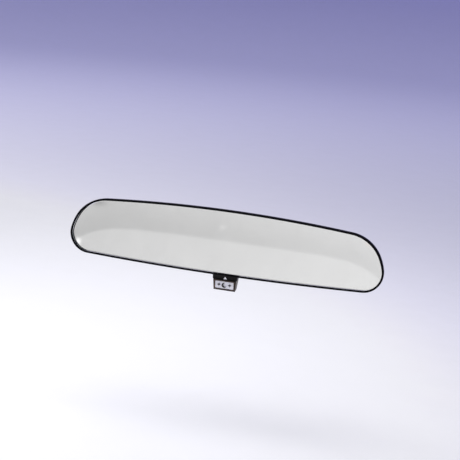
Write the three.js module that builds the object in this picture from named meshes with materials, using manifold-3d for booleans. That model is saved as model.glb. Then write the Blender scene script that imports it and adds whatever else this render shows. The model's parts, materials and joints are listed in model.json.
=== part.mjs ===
// Interior day/night rearview mirror on a windscreen mount.
// Millimetres. +Z up, +X to the right of somebody looking into the mirror, and the glass faces -Y.
// Inside the file every piece is placed from the middle of the rim's front plane: x to the right,
// y back from the rim, z up. The finished group is then shifted so that the origin is the middle
// of the face that is bonded to the windscreen.
import * as THREE from 'three';
import { mergeVertices } from 'three/addons/utils/BufferGeometryUtils.js';
import Module from 'manifold-3d';

const wasm = await Module();
wasm.setup();

const GAP = 0.3; // clearance kept between neighbouring pieces
const DEG = Math.PI / 180;

// ---------------------------------------------------------------- driving dimensions
// Rim outline, right half, from the top centre clockwise: [radius, angle in degrees].
// The last arc, along the bottom, closes the outline on the centre line.
const OUTLINE_TOP = 26.3;
const OUTLINE_ARCS = [[1175, 4.83], [29.9, 60.4], [46, 11.5], [16.2, 100.65]];
const FINE = [8, 10, 3, 12, 8]; // segments along each arc, for the rim and the glass
const COARSE = [5, 7, 2, 9, 5]; // and for the shell
const HALF_WIDTH = 127;
const HALF_HEIGHT = 26.1;

const RIM = {
  lip: 1.25, lipDraft: 0.15, lipDepth: 0.7, land: 1.8, depth: 5.8, backInset: 0.5, frontRound: 0.4,
  roundDepth: 0.5,
};
const GLASS = { inset: 0.95, backInset: 1.2, front: 1.0, thickBottom: 2.0, thickTop: 4.5 };
const COATING = { thick: 0.3, inset: 1.8 };
const SHELL = {
  front: 6.1, back: 25, frontInset: 1.2, draft: 0.2, crown: 16, endFactor: 2.2, wall: 1.6, stations: 8,
};
const BOSS = { outerR: 3.2, holeR: 1.6, holeDepth: 9, places: [[-52, 9], [52, 9], [-52, -6], [52, -6]] };
const LEVER_SLOT = { halfX: 6.4, y0: 5.2, y1: 16.4, z0: -30, z1: -16.4 };

const HINGE = { y: 11.6, z: 15, pinR: 1.4, pinHalf: 29 }; // day/night tilt axis
const LEVER_PIVOT = { y: 11.5, z: -17.5, pinR: 1.2, pinHalf: 8.9 };
const TILT_DEG = 4.5; // travel of the case between day and night
const FLIP_DEG = 30; // travel of the lever between day and night
const TAB_REST_DEG = 12; // the tab leans back by this in the day position
const CRANK_PIN_R = 1.0;
const CLIP = { width: 1.9, mouthHalf: 0.7 };
const TILT_CLIP = { x: 27.5, thick: 0.8 };
const LEVER_CLIP = { x: 7.9, thick: 0.7 };

const BALL = { y: 24, r: 6.5, stemR: 2.8 };
// The two seats stand apart by more than the head's pitch, so that they never meet.
const SEAT = { inner: 6.8, outer: 8.0, mouthDeg: 56, rearEdgeDeg: 86, frontEdgeDeg: 104 };
const SOCKET = { inner: 8.3, r: 13.5, front: 15.2, floorR: 3.5, boltCircle: 11, lipDeg: 55, lipY: 30.2 };
const CLAMP = {
  anglesDeg: [90, 210, 330], flange: 2.2, holeR: 1.5, seatR: 2.9, headR: 2.3, head: 1.7, shankR: 1.15,
};
const WASHER = { outerR: 2.4, innerR: 1.45, thick: 0.6, splitHalf: 0.35 };
const PLATE = { front: 13.5, thick: 1.4, halfX: 24, top: 19, bottom: -9, ear: 1.4 };
const FRAME = { front: 8.2, thick: 1.0, halfX: 62, top: 18.5, bottom: -11.5 };
const FRAME_SCREW = { headR: 2.7, head: 1.2, shankR: 1.3, reach: 8, slotHalf: 0.35, slotLength: 2.2 };
const FOAM = { x0: 20, x1: 46, places: [[-1, 7, 17], [1, 7, 17], [-1, -10.5, -8.2], [1, -10.5, -8.2]] };
const STUD = { neckEnd: 40.5, collarEnd: 43, collarR: 4.2, shankEnd: 51, shankR: 2.6, flatDeg: 165 };
const NUT = { front: STUD.collarEnd + GAP, thick: 2.4, across: 9.5 };

const MOUNT = { y: 63, z: -3, rakeDeg: 30 }; // bonded face of the windscreen button
const BUTTON = { halfX: 9, halfUp: 13, thick: 4.2, grooveDepth: 2, groove: [-2.2, -0.9] };
const SHOE = { halfX: 13, halfUp: 14, thick: 8.5, gapToGlass: 1.2 };
const SET_SCREW = { down: -8.5, r: 2.0, holeR: 2.3, seatR: 2.5, across: 2.2 };
const ARM = { length: 14, frontR: 6.2, shoulderR: 6.6, backR: 7.6 };

// Day/night lever, drawn upright about its pivot: u back and v up.
const BAND = { front: -2.8, top: -10.8, bottom: -14.1, half: 9.9, chamfer: 1.8, back: 7.0 };
const TAB = { front: -3.5, bottom: -23.4, thickBottom: 6.4, halfTop: 9.3, halfBottom: 8.7, toe: 0.8 };
const CHEEK = { inner: 2.2, outer: 5, neckHalf: 2.5, hubR: 3.1, crankR: 2.2 };
const LABEL = { half: 7.5, bottom: -21.6, top: -15.5, seat: 0.5, thick: 0.3 };
const MOON = { r: 2.1, biteR: 1.75, biteX: 1.0, biteUp: 0.35, thick: 0.25 };
const POINTER = { half: 1.4, height: 2.2, base: -13.5, x: 0.4, thick: 0.2 };

// ---------------------------------------------------------------- geometry helpers
function signedVolume(geometry) {
  const p = geometry.attributes.position;
  const index = geometry.index;
  const [a, b, c] = [new THREE.Vector3(), new THREE.Vector3(), new THREE.Vector3()];
  let sum = 0;
  for (let i = 0; i < index.count; i += 3) {
    a.fromBufferAttribute(p, index.getX(i));
    b.fromBufferAttribute(p, index.getX(i + 1));
    c.fromBufferAttribute(p, index.getX(i + 2));
    sum += a.dot(b.cross(c)) / 6;
  }
  return sum;
}

// A three.js geometry as a closed solid with its faces pointing out.
function solid(geometry) {
  const bare = geometry.clone();
  bare.deleteAttribute('normal');
  bare.deleteAttribute('uv');
  const merged = mergeVertices(bare, 1e-4);
  const tri = Uint32Array.from(merged.index.array);
  if (signedVolume(merged) < 0) {
    for (let i = 0; i < tri.length; i += 3) [tri[i + 1], tri[i + 2]] = [tri[i + 2], tri[i + 1]];
  }
  const vertProperties = Float32Array.from(merged.attributes.position.array);
  return new wasm.Manifold(new wasm.Mesh({ numProp: 3, vertProperties, triVerts: tri }));
}

function geometryOf(body) {
  const mesh = body.getMesh();
  const geometry = new THREE.BufferGeometry();
  geometry.setAttribute('position', new THREE.BufferAttribute(Float32Array.from(mesh.vertProperties), 3));
  geometry.setIndex(new THREE.BufferAttribute(Uint32Array.from(mesh.triVerts), 1));
  geometry.computeVertexNormals();
  return geometry;
}

const shapeOf = (points) => new THREE.Shape(points.map(([u, v]) => new THREE.Vector2(u, v)));

// Outline in x, z, pushed back from y0 to y1.
function prismY(points, y0, y1) {
  const geometry = new THREE.ExtrudeGeometry(shapeOf(points), { depth: y1 - y0, bevelEnabled: false });
  return solid(geometry.rotateX(Math.PI / 2).translate(0, y1, 0));
}

// Outline in y, z, pushed across from x0 to x1.
function prismX(points, x0, x1) {
  const geometry = new THREE.ExtrudeGeometry(shapeOf(points), { depth: x1 - x0, bevelEnabled: false });
  const turn = new THREE.Matrix4().makeBasis(
    new THREE.Vector3(0, 1, 0), new THREE.Vector3(0, 0, 1), new THREE.Vector3(1, 0, 0));
  return solid(geometry.applyMatrix4(turn).translate(x0, 0, 0));
}

const box = (x0, x1, y0, y1, z0, z1) => solid(
  new THREE.BoxGeometry(x1 - x0, y1 - y0, z1 - z0).translate((x0 + x1) / 2, (y0 + y1) / 2, (z0 + z1) / 2));

// Box given by its middle and half sizes in x and z.
const boxAbout = (x, halfX, y0, y1, z, halfZ) => box(x - halfX, x + halfX, y0, y1, z - halfZ, z + halfZ);

const rodY = (x, z, r, y0, y1, sides = 20) => solid(
  new THREE.CylinderGeometry(r, r, y1 - y0, sides).translate(x, (y0 + y1) / 2, z));

const rodX = (y, z, r, x0, x1, sides = 20) => solid(
  new THREE.CylinderGeometry(r, r, x1 - x0, sides).rotateZ(Math.PI / 2).translate((x0 + x1) / 2, y, z));

// Profile of [radius, y] pairs turned about the y axis through (0, 0).
const turned = (profile, sides = 24) => solid(
  new THREE.LatheGeometry(profile.map(([r, y]) => new THREE.Vector2(r, y)), sides));

// Rounded rectangle as points.
function roundedRect(u0, u1, v0, v1, r, steps = 4) {
  const corners = [[u1 - r, v0 + r, -90], [u1 - r, v1 - r, 0], [u0 + r, v1 - r, 90], [u0 + r, v0 + r, 180]];
  return corners.flatMap(([u, v, start]) => Array.from({ length: steps + 1 }, (_, i) => {
    const a = (start + (90 * i) / steps) * DEG;
    return [u + r * Math.cos(a), v + r * Math.sin(a)];
  }));
}

function circle(u, v, r, steps = 20) {
  return Array.from({ length: steps }, (_, i) => {
    const a = (2 * Math.PI * i) / steps;
    return [u + r * Math.cos(a), v + r * Math.sin(a)];
  });
}

const arc = (r, fromDeg, toDeg, steps, y = 0) => Array.from({ length: steps + 1 }, (_, i) => {
  const a = (fromDeg + ((toDeg - fromDeg) * i) / steps) * DEG;
  return [r * Math.sin(a), y + r * Math.cos(a)];
});

const union = (...bodies) => bodies.reduce((all, body) => all.add(body));
const cut = (body, ...tools) => tools.reduce((left, tool) => left.subtract(tool), body);

// Moves a body's points by a rule from [x, y, z] to [x, y, z].
function reshape(body, rule) {
  const geometry = geometryOf(body);
  const p = geometry.attributes.position;
  for (let i = 0; i < p.count; i++) p.setXYZ(i, ...rule(p.getX(i), p.getY(i), p.getZ(i)));
  return solid(geometry);
}

// Turns a body about the x direction through (y, z); a positive angle lifts +y towards +z.
function turnX(body, y, z, degrees) {
  const geometry = geometryOf(body).translate(0, -y, -z).rotateX(degrees * DEG).translate(0, y, z);
  return solid(geometry);
}

// ---------------------------------------------------------------- rim outline
// The outline moved in by a distance, as [x, z] points, clockwise from the top centre.
function outline(inset, steps = FINE) {
  const turnedSoFar = OUTLINE_ARCS.reduce((sum, [, angle]) => sum + angle, 0);
  let x = 0;
  let z = OUTLINE_TOP - inset;
  let heading = 0;
  const points = [[x, z]];
  const follow = (radius, angle, count) => {
    const cx = x - radius * Math.sin(heading);
    const cz = z - radius * Math.cos(heading);
    for (let i = 1; i <= count; i++) {
      const a = heading + (angle * DEG * i) / count;
      points.push([cx + radius * Math.sin(a), cz + radius * Math.cos(a)]);
    }
    heading += angle * DEG;
    [x, z] = points[points.length - 1];
  };
  OUTLINE_ARCS.forEach(([radius, angle], i) => follow(radius - inset, angle, steps[i]));
  const left = 180 - turnedSoFar;
  follow(x / Math.sin(left * DEG), left, steps[4]);
  points[points.length - 1][0] = 0;
  const mirrored = points.slice(1, -1).reverse().map(([px, pz]) => [-px, pz]);
  return [...points, ...mirrored];
}

// A closed solid through rings of [x, y, z] points, each ring with the same number of points.
function loft(rings) {
  const count = rings[0].length;
  const positions = rings.flat(2);
  const index = [];
  for (let r = 0; r < rings.length - 1; r++) {
    for (let i = 0; i < count; i++) {
      const a = r * count + i;
      const b = r * count + ((i + 1) % count);
      index.push(a, b, a + count, b, b + count, a + count);
    }
  }
  const cap = (ring, start, flip) => {
    const flat = ring.map(([x, , z]) => new THREE.Vector2(x, z));
    for (const [a, b, c] of THREE.ShapeUtils.triangulateShape(flat, [])) {
      index.push(...(flip ? [start + a, start + c, start + b] : [start + a, start + b, start + c]));
    }
  };
  const lastStart = (rings.length - 1) * count;
  cap(rings[0], 0, false);
  cap(rings[rings.length - 1], lastStart, true);
  const geometry = new THREE.BufferGeometry();
  geometry.setAttribute('position', new THREE.Float32BufferAttribute(positions, 3));
  geometry.setIndex(index);
  return solid(geometry);
}

const ringAt = (inset, y) => outline(inset).map(([x, z]) => [x, y, z]);

// ---------------------------------------------------------------- case: rim, glass, coating, shell
function bezelRim() {
  const outer = loft([
    ringAt(RIM.frontRound, 0), ringAt(0, RIM.roundDepth), ringAt(0, RIM.land),
    ringAt(RIM.backInset, RIM.depth)]);
  const window = loft([ringAt(RIM.lip - RIM.lipDraft, -1), ringAt(RIM.lip, RIM.lipDepth + 0.2)]);
  const pocket = loft([ringAt(GLASS.inset - GAP, RIM.lipDepth), ringAt(GLASS.inset - GAP, RIM.land),
    ringAt(GLASS.backInset - GAP, RIM.depth), ringAt(GLASS.backInset - GAP, RIM.depth + 1)]);
  return cut(outer, window, pocket);
}

// Distance of the glass's silvered back from the rim's front plane.
function glassBack(z) {
  const share = (z + HALF_HEIGHT) / (2 * HALF_HEIGHT);
  return GLASS.front + GLASS.thickBottom + share * (GLASS.thickTop - GLASS.thickBottom);
}

function prismGlass() {
  const back = ringAt(GLASS.backInset, 0).map(([x, , z]) => [x, glassBack(z), z]);
  return loft([ringAt(GLASS.inset, GLASS.front), back]);
}

function silverCoating() {
  const blank = prismY(outline(COATING.inset), 0, 1);
  return reshape(blank, (x, y, z) => [x, glassBack(z) + GAP + y * COATING.thick, z]);
}

// The shell's section at a share of its depth, 0 at its front and 1 at its back, grown by a distance.
function shellRing(share, grow) {
  const depth = SHELL.back - SHELL.front;
  const crowned = 1 - Math.sqrt(Math.max(0, 1 - share * share));
  const drawn = SHELL.draft * depth * share + SHELL.crown * crowned;
  const scaleX = (HALF_WIDTH - SHELL.frontInset - drawn * SHELL.endFactor + grow) / HALF_WIDTH;
  const scaleZ = (HALF_HEIGHT - SHELL.frontInset - drawn + grow) / HALF_HEIGHT;
  const y = SHELL.front + (depth + grow) * share;
  return outline(0, COARSE).map(([x, z]) => [x * scaleX, y, z * scaleZ]);
}

function rearShell() {
  // Equal steps of angle round the crown put the stations close together where it bends most.
  const quarter = (90 * DEG) / (SHELL.stations - 1);
  const shares = Array.from({ length: SHELL.stations }, (_, i) => Math.sin(i * quarter));
  const outer = loft(shares.map((share) => shellRing(share, 0)));
  const innerRings = shares.map((share) => shellRing(share, -SHELL.wall));
  const mouth = innerRings[0].map(([x, y, z]) => [x, y - 1, z]);
  const inner = loft([mouth, ...innerRings]);
  const bossFront = FRAME.front + FRAME.thick + GAP;
  const bosses = BOSS.places.map(([x, z]) => cut(
    rodY(x, z, BOSS.outerR, bossFront, SHELL.back + 1),
    rodY(x, z, BOSS.holeR, 0, bossFront + BOSS.holeDepth)).intersect(outer));
  const socketOpening = rodY(0, 0, SOCKET.r + 2.6, SOCKET.front - 1.2, SHELL.back + 2, 32);
  const leverSlot = box(
    -LEVER_SLOT.halfX, LEVER_SLOT.halfX, LEVER_SLOT.y0, LEVER_SLOT.y1, LEVER_SLOT.z0, LEVER_SLOT.z1);
  return cut(union(cut(outer, inner), ...bosses), socketOpening, leverSlot);
}

// ---------------------------------------------------------------- case: steel frame and its pieces
const HINGE_EAR = { x: 25.6, thick: 1.4 };
const LEVER_EAR = { x: 6.2, thick: 1.2, footHalf: 12.5, bottom: -20.3 };
const bothSides = (make) => [-1, 1].map(make);
// A span of x from near to far on one side of the middle.
const span = (side, near, far) => (side > 0 ? [near, far] : [-far, -near]);

function innerFrame() {
  const y0 = FRAME.front;
  const y1 = FRAME.front + FRAME.thick;
  const web = prismY(roundedRect(-FRAME.halfX, FRAME.halfX, FRAME.bottom, FRAME.top, 4), y0, y1);
  const middle = prismY(roundedRect(-17, 17, -9, 11, 3), y0 - 1, y1 + 1);
  const leverNotch = box(-LEVER_EAR.x, LEVER_EAR.x, y0 - 1, y1 + 1, -14, -8);
  const lightening = bothSides((side) => prismY(
    roundedRect(...span(side, 28, 45), -7, 5, 3), y0 - 1, y1 + 1));
  const feet = bothSides((side) => box(
    ...span(side, LEVER_EAR.x, LEVER_EAR.footHalf), y0, y1, LEVER_EAR.bottom, FRAME.bottom + 1));
  const { y: leverY, z: leverZ } = LEVER_PIVOT;
  const leverEarSide = [[y0, LEVER_EAR.bottom], [leverY, leverZ - 2.5], [leverY + 2, leverZ - 1.8],
    [leverY + 2.6, leverZ], [leverY + 2, leverZ + 1.9], [y0, leverZ + 3.5]];
  const leverEars = bothSides((side) => prismX(
    leverEarSide, ...span(side, LEVER_EAR.x, LEVER_EAR.x + LEVER_EAR.thick)));
  const hingeEarSide = [[y0, 10.5], [y1, 10.5], [HINGE.y + 1.6, HINGE.z - 2.8], [HINGE.y + 2.8, HINGE.z - 1],
    [HINGE.y + 2.8, HINGE.z + 1], [HINGE.y + 1.6, HINGE.z + 2.8], [y0, FRAME.top]];
  const hingeEars = bothSides((side) => prismX(
    hingeEarSide, ...span(side, HINGE_EAR.x, HINGE_EAR.x + HINGE_EAR.thick)));
  const holes = [
    rodX(HINGE.y, HINGE.z, HINGE.pinR + GAP, -40, 40),
    rodX(leverY, leverZ, LEVER_PIVOT.pinR + GAP, -20, 20),
    ...BOSS.places.map(([x, z]) => rodY(x, z, BOSS.holeR + GAP, 0, 12)),
  ];
  const clipRoom = [-1, 1].flatMap((side) => [
    boxAbout(side * 28.3, 1.2, y0 - 1, y1 + 1, HINGE.z, 3.8),
    boxAbout(side * 8.3, 0.7, y0 - 1, y1 + 1, leverZ, 3.4)]);
  const sheet = cut(web, middle, leverNotch, ...lightening);
  return cut(union(sheet, ...feet, ...leverEars, ...hingeEars), ...holes, ...clipRoom);
}

// Screw pointing back, with a flat slotted head in front of the frame.
function frameScrew(x, z) {
  const seat = FRAME.front - GAP;
  const head = rodY(x, z, FRAME_SCREW.headR, seat - FRAME_SCREW.head, seat);
  const shank = rodY(x, z, FRAME_SCREW.shankR, seat - 0.1, FRAME.front + FRAME_SCREW.reach, 14);
  const slotFloor = seat - FRAME_SCREW.head / 2 - 0.1;
  const slot = boxAbout(
    x, FRAME_SCREW.slotLength, seat - FRAME_SCREW.head - 1, slotFloor, z, FRAME_SCREW.slotHalf);
  return cut(union(head, shank), slot);
}

// Pad between the coating and the frame, sloped like the back of the glass.
function foamPad(side, z0, z1) {
  const front = (z) => glassBack(z) + GAP + COATING.thick + GAP;
  const back = FRAME.front - GAP;
  return prismX([[front(z0), z0], [back, z0], [back, z1], [front(z1), z1]], ...span(side, FOAM.x0, FOAM.x1));
}

// Retaining clip on a pin: a ring open at the bottom.
function retainingClip(pivot, side, clip) {
  const { y, z, pinR } = pivot;
  const [x0, x1] = span(side, clip.x, clip.x + clip.thick);
  const ring = prismX(circle(y, z, pinR + CLIP.width), x0, x1);
  const bore = prismX(circle(y, z, pinR + GAP), x0 - 1, x1 + 1);
  const mouth = box(x0 - 1, x1 + 1, y - CLIP.mouthHalf, y + CLIP.mouthHalf, z - pinR - 3, z);
  return cut(ring, bore, mouth);
}

// ---------------------------------------------------------------- toggle plate and ball socket
// Crank length that carries the lever's pin through the tilt of the case.
const leverDrop = HINGE.z - LEVER_PIVOT.z;
const halfFlip = (FLIP_DEG / 2) * DEG;
const crankLength = (leverDrop * Math.sin(TILT_DEG * DEG))
  / (2 * Math.sin(halfFlip) + Math.cos(halfFlip) * Math.sin(TILT_DEG * DEG));
const crankRest = {
  y: LEVER_PIVOT.y - crankLength * Math.sin(halfFlip),
  z: LEVER_PIVOT.z + crankLength * Math.cos(halfFlip),
};

const FORK_HALF = 1.5;
const SOCKET_SCREW = { headR: 2.3, clearR: 1.7, shankR: 1.2, holeR: 1.5, end: 19.8 };

function togglePlate() {
  const y0 = PLATE.front;
  const y1 = PLATE.front + PLATE.thick;
  const web = prismY(roundedRect(-PLATE.halfX, PLATE.halfX, PLATE.bottom, PLATE.top, 3.5), y0, y1);
  const earSide = [[y1, 10], [HINGE.y - 0.6, HINGE.z - 2.8], [HINGE.y - 2, HINGE.z - 1.4],
    [HINGE.y - 2, HINGE.z + 1.4], [HINGE.y - 0.6, HINGE.z + 2.8], [y1, PLATE.top - 0.6]];
  const ears = bothSides((side) => prismX(earSide, ...span(side, PLATE.halfX - PLATE.ear, PLATE.halfX)));
  // Two tines below the plate straddle the lever's crank pin.
  const front = crankRest.y - CRANK_PIN_R - GAP;
  const back = crankRest.y + CRANK_PIN_R + GAP;
  const slotTop = crankRest.z + 2.2;
  const tineEnd = -15.4;
  const fork = prismX([[y1, -3], [y1, PLATE.bottom], [back + 2, slotTop + 0.4], [back + 2, tineEnd],
    [back, tineEnd], [back, slotTop], [front, slotTop], [front, tineEnd],
    [front - 1.6, tineEnd], [front - 1.6, slotTop + 1], [y0 - 0.2, -5.5], [y0, -3]], -FORK_HALF, FORK_HALF);
  const { headR, clearR } = SOCKET_SCREW;
  const holes = [
    rodX(HINGE.y, HINGE.z, HINGE.pinR + GAP, -40, 40),
    rodY(0, 0, 4, 10, 20),
    ...bothSides((side) => rodY(side * SOCKET.boltCircle, 0, clearR, 10, 20)),
  ];
  const sink = [[0, y0 - 0.1], [headR + GAP, y0 - 0.1], [clearR, y0 + 0.8], [0, y0 + 0.8]];
  const countersinks = bothSides((side) => turned(sink, 20).translate([side * SOCKET.boltCircle, 0, 0]));
  return cut(union(web, ...ears, fork), ...holes, ...countersinks);
}

// Where a clamp screw stands on the ring's bolt circle.
function clampPlace(angleDeg) {
  return [SOCKET.boltCircle * Math.cos(angleDeg * DEG), SOCKET.boltCircle * Math.sin(angleDeg * DEG)];
}

// Front half of the ball's housing, screwed to the plate.
function socketBody() {
  const rear = BALL.y - GAP / 2;
  const body = turned([
    [SOCKET.floorR, SOCKET.front], [SOCKET.r - 0.8, SOCKET.front], [SOCKET.r, SOCKET.front + 0.8],
    [SOCKET.r, rear],
    ...arc(SOCKET.inner, 91, 155, 5, BALL.y),
    [SOCKET.floorR, SOCKET.front],
  ], 32);
  const threads = CLAMP.anglesDeg.map((a) => rodY(...clampPlace(a), CLAMP.holeR, 17, 30, 14));
  const screwHoles = bothSides((side) => rodY(side * SOCKET.boltCircle, 0, SOCKET_SCREW.holeR, 10, 20.5, 14));
  return cut(body, ...threads, ...screwHoles);
}

function socketScrew(side) {
  const y0 = PLATE.front;
  const { headR, shankR, end } = SOCKET_SCREW;
  const profile = [[0, y0 - 0.1], [headR, y0 - 0.1], [shankR, y0 + 1.0], [shankR, end], [0, end]];
  const body = turned(profile, 16).translate([side * SOCKET.boltCircle, 0, 0]);
  return cut(body, boxAbout(side * SOCKET.boltCircle, 3, y0 - 1, y0 + 0.4, 0, 0.3));
}

const ringFront = BALL.y + GAP / 2;
const ringFlangeBack = ringFront + CLAMP.flange;
const washerFront = ringFlangeBack + GAP;
const washerBack = washerFront + WASHER.thick;

// Rear half of the ball's housing: a flange with a domed collar round the ball.
function clampRing() {
  const mouth = SOCKET.inner * Math.sin(SOCKET.lipDeg * DEG);
  const profile = [
    [SOCKET.r, ringFront], [SOCKET.r, ringFlangeBack], [9.9, ringFlangeBack + 0.1], [8.4, SOCKET.lipY],
    [mouth, SOCKET.lipY],
    ...arc(SOCKET.inner, SOCKET.lipDeg, 89, 5, BALL.y),
    [SOCKET.r, ringFront],
  ];
  const holes = CLAMP.anglesDeg.map((a) => rodY(...clampPlace(a), CLAMP.holeR, 20, 30, 14));
  const seats = CLAMP.anglesDeg.map((a) => rodY(...clampPlace(a), CLAMP.seatR, ringFlangeBack, 32, 16));
  return cut(turned(profile, 32), ...holes, ...seats);
}

function clampScrew(angleDeg) {
  const [x, z] = clampPlace(angleDeg);
  const seat = washerBack + GAP;
  const head = rodY(x, z, CLAMP.headR, seat, seat + CLAMP.head);
  const shank = rodY(x, z, CLAMP.shankR, 17.6, seat + 0.1, 14);
  return cut(union(head, shank), boxAbout(x, 3, seat + 0.9, seat + 4, z, 0.3));
}

function lockWasher(angleDeg) {
  const [x, z] = clampPlace(angleDeg);
  const split = box(x - WASHER.splitHalf, x + WASHER.splitHalf, 20, 30, z, z + 4);
  const ring = rodY(x, z, WASHER.outerR, washerFront, washerBack);
  return cut(ring, rodY(x, z, WASHER.innerR, 20, 30, 14), split);
}

// ---------------------------------------------------------------- nylon seats and ball stud
// A cup between the seats' inner and outer spheres, from one angle off the stem to another.
function seat(fromDeg, toDeg, steps) {
  const outside = arc(SEAT.outer, fromDeg, toDeg, steps, BALL.y);
  const inside = arc(SEAT.inner, toDeg, fromDeg, steps, BALL.y);
  const profile = [...outside, ...inside];
  return fromDeg === 180 ? turned(profile) : turned([...profile, profile[0]]);
}

const seatFront = () => seat(180, SEAT.frontEdgeDeg, 6);
const seatRear = () => seat(SEAT.rearEdgeDeg, SEAT.mouthDeg, 3);

function ballStud() {
  const stemDeg = Math.asin(BALL.stemR / BALL.r) / DEG;
  return turned([
    [0, BALL.y + BALL.r * Math.cos(STUD.flatDeg * DEG)],
    ...arc(BALL.r, STUD.flatDeg, stemDeg + 3, 10, BALL.y),
    [BALL.stemR, BALL.y + 7.2],
    [BALL.stemR, STUD.neckEnd],
    [STUD.collarR, STUD.neckEnd + 0.4],
    [STUD.collarR, STUD.collarEnd],
    [STUD.shankR, STUD.collarEnd],
    [STUD.shankR, STUD.shankEnd],
    [0, STUD.shankEnd],
  ]);
}

const hexagon = (across) => Array.from({ length: 6 }, (_, i) => {
  const a = (60 * i + 30) * DEG;
  const r = across / 2 / Math.cos(30 * DEG);
  return [r * Math.cos(a), r * Math.sin(a)];
});

const lockNut = () => cut(prismY(hexagon(NUT.across), NUT.front, NUT.front + NUT.thick),
  rodY(0, 0, STUD.shankR + GAP, 40, 50, 24));

// ---------------------------------------------------------------- windscreen mount
// Pieces below are built with the bonded face in the plane y = 0 and then leaned to the glass.
function leanToGlass(body) {
  const geometry = geometryOf(body).rotateX(MOUNT.rakeDeg * DEG).translate(0, MOUNT.y, MOUNT.z);
  return solid(geometry);
}

const setScrewRod = (r, y0, y1) => rodY(0, SET_SCREW.down, r, y0, y1, 24);

// Pad bonded to the glass, with a groove down each side that the shoe's hooks run in.
function windscreenButton() {
  const outlinePoints = roundedRect(-BUTTON.halfX, BUTTON.halfX, -BUTTON.halfUp, BUTTON.halfUp, 4);
  const pad = prismY(outlinePoints, -BUTTON.thick, 0);
  const grooves = bothSides((side) => box(
    ...span(side, BUTTON.halfX - BUTTON.grooveDepth, BUTTON.halfX + 1), ...BUTTON.groove, -20, 20));
  const screwSeat = setScrewRod(SET_SCREW.seatR, -6, -BUTTON.thick + 0.9);
  return leanToGlass(cut(pad, ...grooves, screwSeat));
}

// Shoe that hooks over the button, and the short arm that takes the stud's shank.
function mountArm() {
  const outlinePoints = roundedRect(-SHOE.halfX, SHOE.halfX, -SHOE.halfUp, SHOE.halfUp, 5, 6);
  const shoe = prismY(outlinePoints, -SHOE.thick, -SHOE.gapToGlass);
  const room = BUTTON.halfX + GAP;
  const channel = box(-room, room, -BUTTON.thick - GAP, 1, -30, BUTTON.halfUp + GAP);
  const hooks = bothSides((side) => box(
    ...span(side, BUTTON.halfX - BUTTON.grooveDepth + GAP, SHOE.halfX - 1),
    BUTTON.groove[0] + GAP, -SHOE.gapToGlass, -SHOE.halfUp + 5, SHOE.halfUp - 5));
  const hooked = leanToGlass(union(cut(shoe, channel), ...hooks));
  const armFront = NUT.front + NUT.thick + GAP;
  const armBack = armFront + ARM.length;
  const arm = turned([
    [0, armFront], [ARM.frontR, armFront], [ARM.shoulderR, armFront + 0.5], [ARM.backR, armBack],
    [0, armBack]]);
  const shoeSide = leanToGlass(box(-30, 30, -SHOE.thick + 1, 30, -40, 40));
  const shankHole = rodY(0, 0, STUD.shankR + GAP, 30, STUD.shankEnd + GAP, 24);
  const screwHole = leanToGlass(setScrewRod(SET_SCREW.holeR, -30, 2));
  return cut(union(hooked, cut(arm, shoeSide)), shankHole, screwHole);
}

function setScrew() {
  const screw = setScrewRod(SET_SCREW.r, -SHOE.thick - 0.6, -BUTTON.thick + 0.6);
  const flats = hexagon(SET_SCREW.across).map(([x, z]) => [x, z + SET_SCREW.down]);
  return leanToGlass(cut(screw, prismY(flats, -SHOE.thick - 1, -SHOE.thick + 1.4)));
}

// ---------------------------------------------------------------- day/night lever
const leanLever = (body) => turnX(body, LEVER_PIVOT.y, LEVER_PIVOT.z, TAB_REST_DEG);
const fromPivot = (points) => points.map(([u, v]) => [LEVER_PIVOT.y + u, LEVER_PIVOT.z + v]);
const onCheeks = (points) => prismX(fromPivot(points), -CHEEK.outer, CHEEK.outer);
// Where the crank pin stands in the upright lever.
const crankLean = (FLIP_DEG / 2 - TAB_REST_DEG) * DEG;
const crankUpright = [-crankLength * Math.sin(crankLean), crankLength * Math.cos(crankLean)];

// Black shoulder under the rim, with a wedge below it that carries the label.
function tabBody() {
  const shoulderTop = BAND.top + BAND.chamfer;
  const shoulder = prismX(fromPivot([[BAND.front, BAND.top], [BAND.front + BAND.chamfer, shoulderTop],
    [BAND.back, shoulderTop], [BAND.back, BAND.bottom], [BAND.front, BAND.bottom]]), -BAND.half, BAND.half);
  const toe = TAB.front + TAB.thickBottom;
  const wedge = prismX(fromPivot([[TAB.front, BAND.bottom + 0.2], [BAND.back - 0.4, BAND.bottom + 0.2],
    [BAND.back - 0.4, BAND.bottom - 0.6], [toe, TAB.bottom + TAB.toe], [toe - TAB.toe, TAB.bottom],
    [TAB.front + TAB.toe / 2, TAB.bottom], [TAB.front, TAB.bottom + TAB.toe / 2],
  ]), -TAB.halfTop, TAB.halfTop);
  const tapered = reshape(wedge, (x, y, z) => {
    const share = (LEVER_PIVOT.z + BAND.bottom - z) / (BAND.bottom - TAB.bottom);
    const half = TAB.halfTop + Math.max(0, share) * (TAB.halfBottom - TAB.halfTop);
    return [(x * half) / TAB.halfTop, y, z];
  });
  return union(shoulder, tapered);
}

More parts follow.
